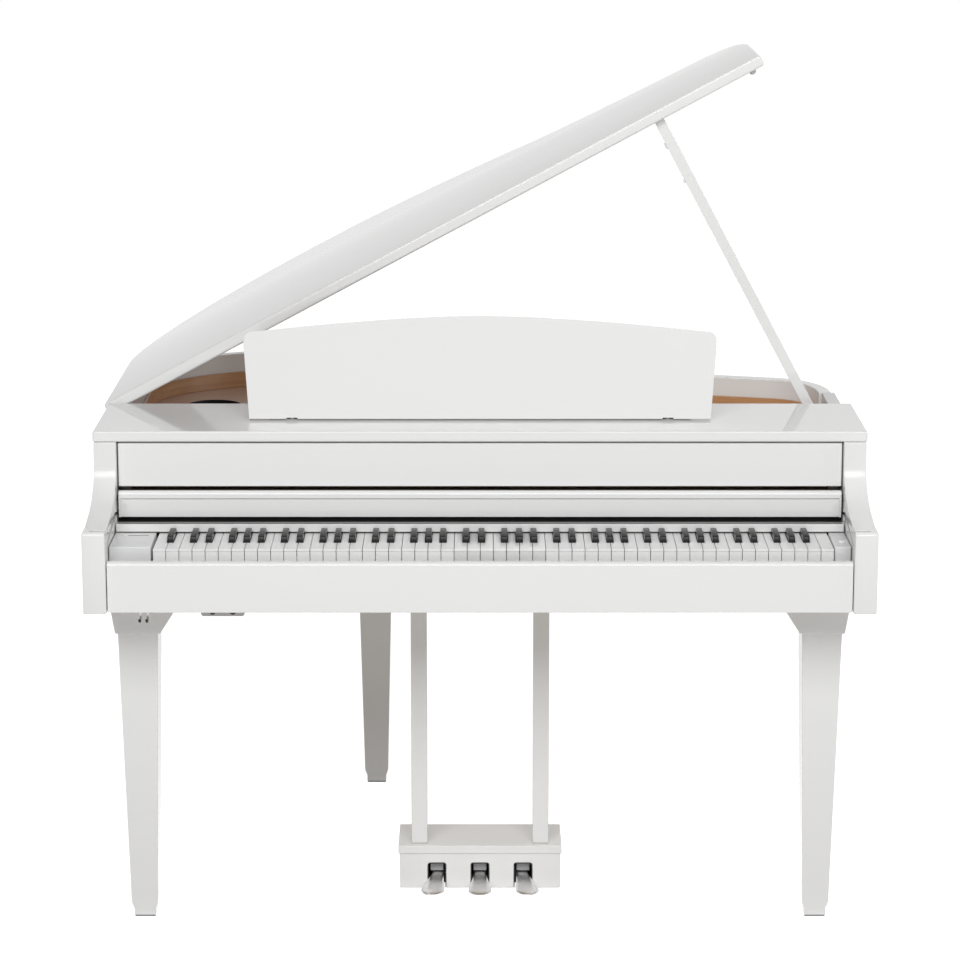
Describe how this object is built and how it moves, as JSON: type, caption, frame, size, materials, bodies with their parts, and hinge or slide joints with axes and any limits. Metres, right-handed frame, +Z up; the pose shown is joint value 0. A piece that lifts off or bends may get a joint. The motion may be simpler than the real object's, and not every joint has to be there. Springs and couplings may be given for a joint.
{
  "type": "digital grand piano",
  "caption": "White digital grand piano with a raised lid on a stay, folding music rest, sliding arc key cover, weighted keys, a pedal lyre and tapered legs.",
  "frame": {"origin": "on the floor, under the middle of the object's bounding box", "axes": "+Z up, +X to the player's right, +Y from the player towards the tail"},
  "size_m": [1.4399, 1.237, 1.5967],
  "materials": {
    "lacquered_wood": "white polished lacquer on wood",
    "plain_board": "unpainted board",
    "warm_veneer": "satin varnished veneer",
    "key_white": "ivory-feel moulding",
    "key_black": "ebony-feel moulding",
    "white_plastic": "satin moulding",
    "grey_plastic": "satin moulding",
    "dark_plastic": "matt moulding",
    "grey_rubber": "moulded",
    "chrome": "polished",
    "steel": "plated",
    "circuit_board": "green solder mask"
  },
  "bodies": {
    "case": {"left_cheek_block": "lacquered_wood", "right_cheek_block": "lacquered_wood", "left_side": "lacquered_wood", "right_side": "lacquered_wood", "rim": "lacquered_wood", "key_slip": "lacquered_wood", "name_panel": "lacquered_wood", "key_rail": "lacquered_wood", "top_board": "lacquered_wood", "front_left_leg": "lacquered_wood", "front_right_leg": "lacquered_wood", "rear_leg": "lacquered_wood", "left_post": "lacquered_wood", "right_post": "lacquered_wood", "pedal_box": "lacquered_wood", "keybed": "plain_board", "case_bottom": "plain_board", "cross_wall": "plain_board", "deck": "warm_veneer", "inner_rim_band": "warm_veneer", "left_end_block": "white_plastic", "right_end_block": "white_plastic", "white_keys": "key_white", "black_keys": "key_black", "music_rest_hinge": "chrome", "headphone_hook": "chrome", "lid_hinge": "steel", "stay_bracket": "steel", "jack_box": "grey_plastic", "speaker_left": "dark_plastic", "speaker_right": "dark_plastic", "power_inlet": "dark_plastic", "main_board": "circuit_board"},
    "lid": {"lid": "lacquered_wood", "lid_hinge_leaf": "steel", "lid_bumper": "grey_rubber"},
    "lid_stay": {"lid_stay": "lacquered_wood"},
    "music_rest": {"music_rest": "lacquered_wood"},
    "rest_prop_left": {"rest_prop_left": "steel"},
    "rest_prop_right": {"rest_prop_right": "steel"},
    "key_cover": {"key_cover": "lacquered_wood", "key_cover_lip": "lacquered_wood"},
    "soft_pedal": {"soft_pedal": "chrome"},
    "sostenuto_pedal": {"sostenuto_pedal": "chrome"},
    "damper_pedal": {"damper_pedal": "chrome"},
    "power_button": {"power_button": "white_plastic"},
    "volume_slider": {"volume_slider": "white_plastic"},
    "key_c4": {"key_c4": "key_white"},
    "key_d4": {"key_d4": "key_white"},
    "key_e4": {"key_e4": "key_white"},
    "key_f4": {"key_f4": "key_white"},
    "key_g4": {"key_g4": "key_white"},
    "key_a4": {"key_a4": "key_white"},
    "key_b4": {"key_b4": "key_white"},
    "key_cs4": {"key_cs4": "key_black"},
    "key_ds4": {"key_ds4": "key_black"},
    "key_fs4": {"key_fs4": "key_black"},
    "key_gs4": {"key_gs4": "key_black"},
    "key_as4": {"key_as4": "key_black"}
  },
  "joints": [
    {"name": "lid_hinge_line", "type": "hinge", "parent": "case", "child": "lid", "pos_m": [-0.70895, 0.0815, 0.908], "axis": [0, -1, 0], "range_deg": [0, 10]},
    {"name": "stay_pivot", "type": "hinge", "parent": "case", "child": "lid_stay", "pos_m": [0.66275, -0.1135, 0.88], "axis": [0, -1, 0], "range_deg": [0, 61.8]},
    {"name": "rest_hinge", "type": "hinge", "parent": "case", "child": "music_rest", "pos_m": [0.00505, -0.3011, 0.934], "axis": [-1, 0, 0], "range_deg": [0, 75.5]},
    {"name": "rest_prop_left_pivot", "type": "hinge", "parent": "music_rest", "child": "rest_prop_left", "pos_m": [-0.19495, -0.28417, 1.00192], "axis": [-1, 0, 0], "range_deg": [-151, 0]},
    {"name": "rest_prop_right_pivot", "type": "hinge", "parent": "music_rest", "child": "rest_prop_right", "pos_m": [0.20505, -0.28417, 1.00192], "axis": [-1, 0, 0], "range_deg": [-151, 0]},
    {"name": "key_cover_guide", "type": "hinge", "parent": "case", "child": "key_cover", "pos_m": [0.00505, -0.4135, 0.2], "axis": [1, 0, 0], "range_deg": [0, 15.5]},
    {"name": "key_c4_pivot", "type": "hinge", "parent": "case", "child": "key_c4", "pos_m": [-0.03, -0.3425, 0.7229], "axis": [1, 0, 0], "range_deg": [0, 2.5], "stiffness_Nm_per_rad": 1.6, "springref_deg": -8.59},
    {"name": "key_d4_pivot", "type": "hinge", "parent": "case", "child": "key_d4", "pos_m": [-0.0063, -0.3425, 0.7229], "axis": [1, 0, 0], "range_deg": [0, 2.5], "stiffness_Nm_per_rad": 1.6, "springref_deg": -8.59},
    {"name": "key_e4_pivot", "type": "hinge", "parent": "case", "child": "key_e4", "pos_m": [0.0174, -0.3425, 0.7229], "axis": [1, 0, 0], "range_deg": [0, 2.5], "stiffness_Nm_per_rad": 1.6, "springref_deg": -8.59},
    {"name": "key_f4_pivot", "type": "hinge", "parent": "case", "child": "key_f4", "pos_m": [0.0411, -0.3425, 0.7229], "axis": [1, 0, 0], "range_deg": [0, 2.5], "stiffness_Nm_per_rad": 1.6, "springref_deg": -8.59},
    {"name": "key_g4_pivot", "type": "hinge", "parent": "case", "child": "key_g4", "pos_m": [0.0648, -0.3425, 0.7229], "axis": [1, 0, 0], "range_deg": [0, 2.5], "stiffness_Nm_per_rad": 1.6, "springref_deg": -8.59},
    {"name": "key_a4_pivot", "type": "hinge", "parent": "case", "child": "key_a4", "pos_m": [0.0885, -0.3425, 0.7229], "axis": [1, 0, 0], "range_deg": [0, 2.5], "stiffness_Nm_per_rad": 1.6, "springref_deg": -8.59},
    {"name": "key_b4_pivot", "type": "hinge", "parent": "case", "child": "key_b4", "pos_m": [0.1122, -0.3425, 0.7229], "axis": [1, 0, 0], "range_deg": [0, 2.5], "stiffness_Nm_per_rad": 1.6, "springref_deg": -8.59},
    {"name": "key_cs4_pivot", "type": "hinge", "parent": "case", "child": "key_cs4", "pos_m": [-0.02045, -0.3425, 0.7229], "axis": [1, 0, 0], "range_deg": [0, 2.5], "stiffness_Nm_per_rad": 1, "springref_deg": -8.59},
    {"name": "key_ds4_pivot", "type": "hinge", "parent": "case", "child": "key_ds4", "pos_m": [0.00785, -0.3425, 0.7229], "axis": [1, 0, 0], "range_deg": [0, 2.5], "stiffness_Nm_per_rad": 1, "springref_deg": -8.59},
    {"name": "key_fs4_pivot", "type": "hinge", "parent": "case", "child": "key_fs4", "pos_m": [0.04995, -0.3425, 0.7229], "axis": [1, 0, 0], "range_deg": [0, 2.5], "stiffness_Nm_per_rad": 1, "springref_deg": -8.59},
    {"name": "key_gs4_pivot", "type": "hinge", "parent": "case", "child": "key_gs4", "pos_m": [0.07665, -0.3425, 0.7229], "axis": [1, 0, 0], "range_deg": [0, 2.5], "stiffness_Nm_per_rad": 1, "springref_deg": -8.59},
    {"name": "key_as4_pivot", "type": "hinge", "parent": "case", "child": "key_as4", "pos_m": [0.10335, -0.3425, 0.7229], "axis": [1, 0, 0], "range_deg": [0, 2.5], "stiffness_Nm_per_rad": 1, "springref_deg": -8.59},
    {"name": "soft_pedal_pivot", "type": "hinge", "parent": "case", "child": "soft_pedal", "pos_m": [-0.06765, -0.2085, 0.0275], "axis": [0.9963, -0.0854, 0], "range_deg": [0, 4], "stiffness_Nm_per_rad": 20, "springref_deg": -4.58},
    {"name": "sostenuto_pedal_pivot", "type": "hinge", "parent": "case", "child": "sostenuto_pedal", "pos_m": [0.00505, -0.2085, 0.0275], "axis": [1, 0, 0], "range_deg": [0, 4], "stiffness_Nm_per_rad": 20, "springref_deg": -4.58},
    {"name": "damper_pedal_pivot", "type": "hinge", "parent": "case", "child": "damper_pedal", "pos_m": [0.07775, -0.2085, 0.0275], "axis": [0.9963, 0.0854, 0], "range_deg": [0, 4], "stiffness_Nm_per_rad": 20, "springref_deg": -4.58},
    {"name": "power_button_press", "type": "slide", "parent": "case", "child": "power_button", "axis": [0, 0, -1], "range_m": [0, 0.0015], "stiffness_N_per_m": 600, "springref_m": -0.001},
    {"name": "volume_slide", "type": "slide", "parent": "case", "child": "volume_slider", "axis": [1, 0, 0], "range_m": [0, 0.036]}
  ],
  "couplings": [
    {"joint": "rest_prop_left_pivot", "follows": "rest_hinge", "ratio": -2},
    {"joint": "rest_prop_right_pivot", "follows": "rest_hinge", "ratio": -2}
  ]
}
